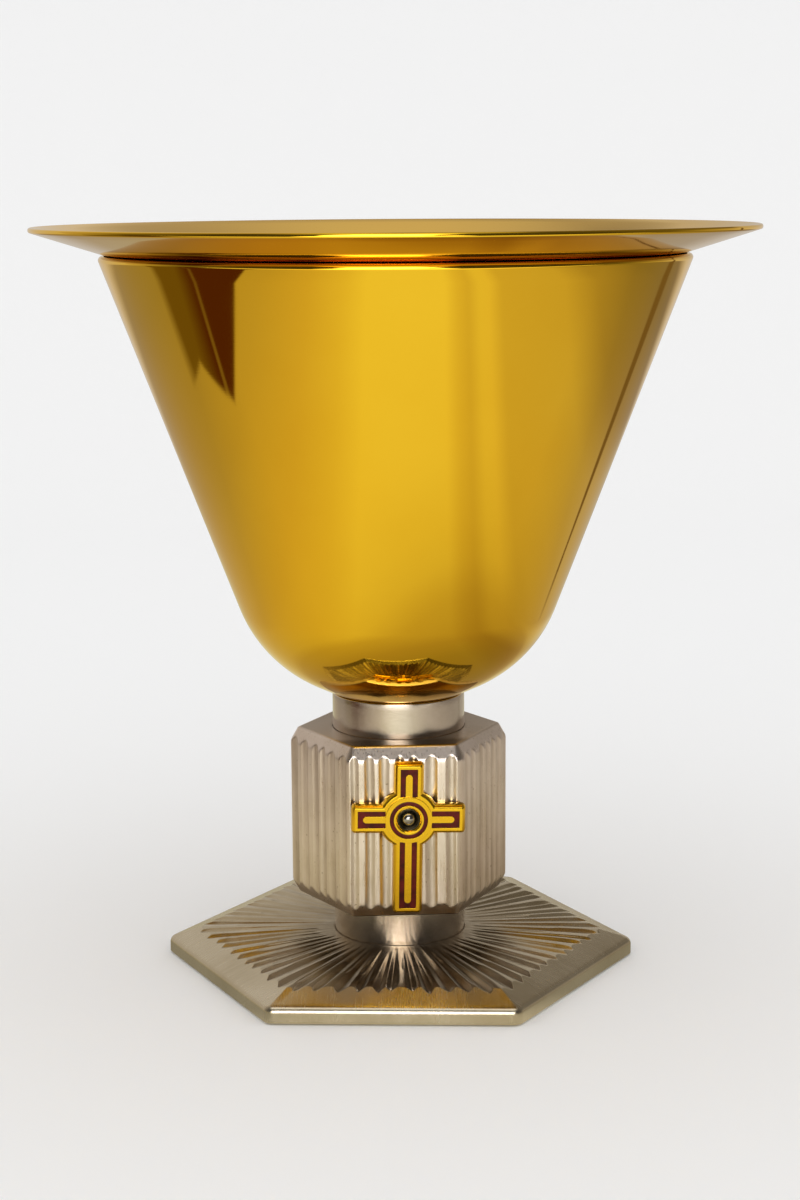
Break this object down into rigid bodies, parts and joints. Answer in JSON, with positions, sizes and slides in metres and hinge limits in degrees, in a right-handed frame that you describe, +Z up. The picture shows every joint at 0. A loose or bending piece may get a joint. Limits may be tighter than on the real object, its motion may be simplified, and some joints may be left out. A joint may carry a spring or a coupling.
{
  "type": "baptismal font",
  "caption": "Table-top baptismal font: a flanged water basin lifts out of a conical cup on a fluted hexagonal knop with an enamelled cross and a gouged hexagonal foot.",
  "frame": {"origin": "on the resting plane, under the font's vertical axis", "axes": "+Z up along the axis of the cup and basin, -Y towards the cross, +X to the right of someone facing the cross"},
  "size_m": [0.22, 0.22, 0.2309],
  "materials": {
    "polished_gold": "gold-plated brass, mirror polished",
    "hidden_brass": "turned",
    "satin_nickel": "nickel-plated cast brass, satin brushed",
    "steel": "zinc-plated",
    "felt": "felt",
    "red_enamel": "fired glossy enamel, opaque",
    "dark_silver": "oxidised, polished",
    "stone": "polished dark stone, opaque"
  },
  "bodies": {
    "stand": {"cup": "polished_gold", "cup_boss": "hidden_brass", "upper_collar": "satin_nickel", "upper_centring_disc": "steel", "knop_shell": "satin_nickel", "knop_bottom_plate": "satin_nickel", "lower_collar": "satin_nickel", "lower_centring_disc": "steel", "base_shell": "satin_nickel", "felt_pad": "felt", "tie_rod": "steel", "clamp_washer": "steel", "lock_washer": "steel", "clamp_nut": "steel", "cross_body": "polished_gold", "cross_stud_upper": "steel", "cross_stud_lower": "steel", "cross_nut_upper": "steel", "cross_nut_lower": "steel", "enamel_top_arm": "red_enamel", "enamel_right_arm": "red_enamel", "enamel_bottom_arm": "red_enamel", "enamel_left_arm": "red_enamel", "enamel_ring": "red_enamel", "stone_setting": "dark_silver", "stone": "stone"},
    "basin": {"basin": "polished_gold"}
  },
  "joints": [
    {"name": "basin_lift", "type": "slide", "parent": "stand", "child": "basin", "axis": [0, 0, 1], "range_m": [0, 0.14]}
  ]
}
